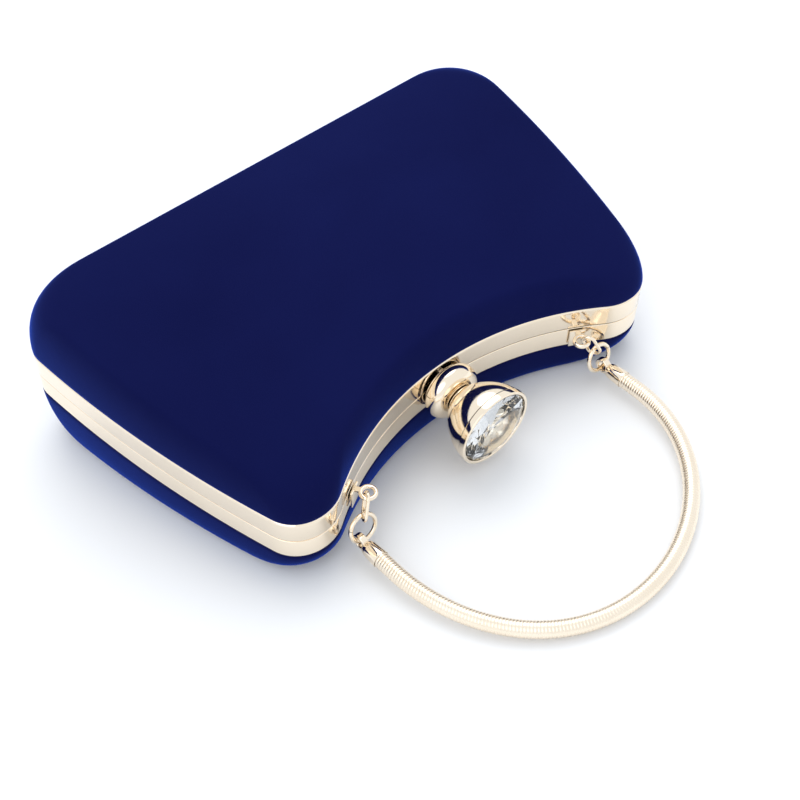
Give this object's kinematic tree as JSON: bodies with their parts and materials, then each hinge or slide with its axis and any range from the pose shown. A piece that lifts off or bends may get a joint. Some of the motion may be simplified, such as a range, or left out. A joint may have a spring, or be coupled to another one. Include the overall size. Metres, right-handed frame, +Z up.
{
  "type": "evening clutch purse",
  "caption": "Hard-case velvet evening clutch with a gilded hinged frame, an arched mouth, a crystal press clasp and a curved tube handle on links and rings.",
  "frame": {"origin": "centre of the bounding box on the surface the bag lies on, with the bag on its flat back", "axes": "+X along the case, -Y from the hinged bottom edge towards the mouth, clasp and handle, +Z up from the back to the front"},
  "size_m": [0.1988, 0.2006, 0.0642],
  "materials": {
    "gilt": "polished pale gold plate",
    "velvet": "short-pile royal blue velvet",
    "board": "matt moulded shell",
    "satin": "smooth satin lining",
    "steel": "plain steel",
    "crystal": "clear faceted stone"
  },
  "bodies": {
    "back": {"back_frame": "gilt", "back_cover": "velvet", "back_shell": "board", "back_lining": "satin", "hinge_leaf_back_right": "gilt", "hinge_leaf_back_left": "gilt", "hinge_pin_right": "steel", "hinge_pin_left": "steel", "catch_keeper": "steel", "lug_right": "gilt", "lug_left": "gilt"},
    "lid": {"front_frame": "gilt", "front_cover": "velvet", "front_shell": "board", "front_lining": "satin", "hinge_leaf_front_right": "gilt", "hinge_leaf_front_left": "gilt", "clasp_base": "gilt", "clasp_guide": "steel", "clasp_spring": "steel"},
    "clasp": {"clasp_plunger": "steel", "clasp_bead": "gilt", "clasp_neck": "gilt", "clasp_bell": "gilt", "clasp_bezel": "gilt", "clasp_crystal": "crystal"},
    "links": {"link_left": "gilt", "link_right": "gilt"},
    "rings": {"ring_left": "gilt", "ring_right": "gilt"},
    "handle": {"handle_tube": "gilt", "handle_core": "steel", "end_cap_left": "gilt", "end_cap_right": "gilt"}
  },
  "joints": [
    {"name": "lid_hinge", "type": "hinge", "parent": "back", "child": "lid", "pos_m": [0, 0.09866, 0.03247], "axis": [-1, 0, 0], "range_deg": [0, 75]},
    {"name": "clasp_press", "type": "slide", "parent": "lid", "child": "clasp", "axis": [0, 0.9958, 0.0912], "range_m": [0, 0.001], "stiffness_N_per_m": 1000, "springref_m": -0.001},
    {"name": "link_swing", "type": "hinge", "parent": "back", "child": "links", "pos_m": [0.05025, -0.02203, 0.02041], "axis": [-1, 0, 0], "range_deg": [-5, 30]},
    {"name": "ring_swing", "type": "hinge", "parent": "links", "child": "rings", "pos_m": [0.0523, -0.02301, 0.0155], "axis": [-1, 0, 0], "range_deg": [-15, 35]},
    {"name": "handle_swing", "type": "hinge", "parent": "rings", "child": "handle", "pos_m": [0.056, -0.0248, 0.0066], "axis": [-1, 0, 0], "range_deg": [-25, 50]}
  ]
}
